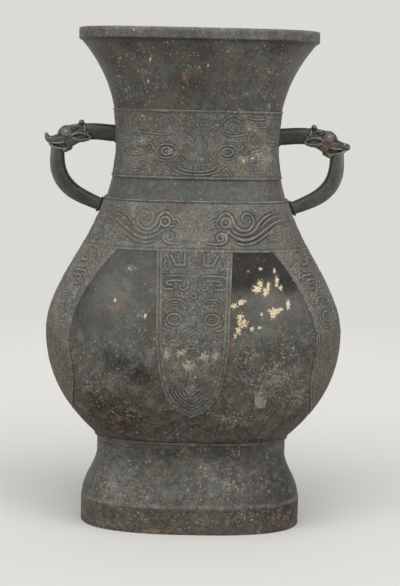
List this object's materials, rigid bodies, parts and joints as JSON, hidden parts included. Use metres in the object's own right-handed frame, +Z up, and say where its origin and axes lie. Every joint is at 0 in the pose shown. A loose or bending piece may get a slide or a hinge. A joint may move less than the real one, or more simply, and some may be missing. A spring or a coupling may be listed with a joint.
{
  "type": "bronze hu vessel",
  "caption": "Tall oval bronze wine vessel with a flared mouth, swelling belly, spreading hollow foot and beast-head loop handles at the neck.",
  "frame": {"origin": "middle of the foot's underside, on the surface the vessel stands on", "axes": "+Z up along the vessel's axis, X through the two handles, the front faces -Y"},
  "size_m": [0.2496, 0.174, 0.4],
  "materials": {
    "aged_bronze": "cast bronze under a grey-olive patina with pale mineral specks and patches of green",
    "handled_bronze": "cast bronze worn smooth and dark by handling",
    "patch_bronze": "paler cast bronze with a dull grey skin",
    "old_solder": "dull grainy grey-brown lead-tin solder"
  },
  "bodies": {
    "root": {"neck": "aged_bronze", "belly": "aged_bronze", "foot": "aged_bronze", "base_plate": "aged_bronze", "casting_patch": "patch_bronze", "neck_seam_solder": "old_solder", "foot_seam_solder": "old_solder", "base_plate_solder": "old_solder", "right_handle_head": "handled_bronze", "left_handle_head": "handled_bronze", "right_handle_loop": "handled_bronze", "left_handle_loop": "handled_bronze", "right_arm_solder": "old_solder", "left_arm_solder": "old_solder", "right_loop_solder": "old_solder", "left_loop_solder": "old_solder"}
  },
  "joints": []
}
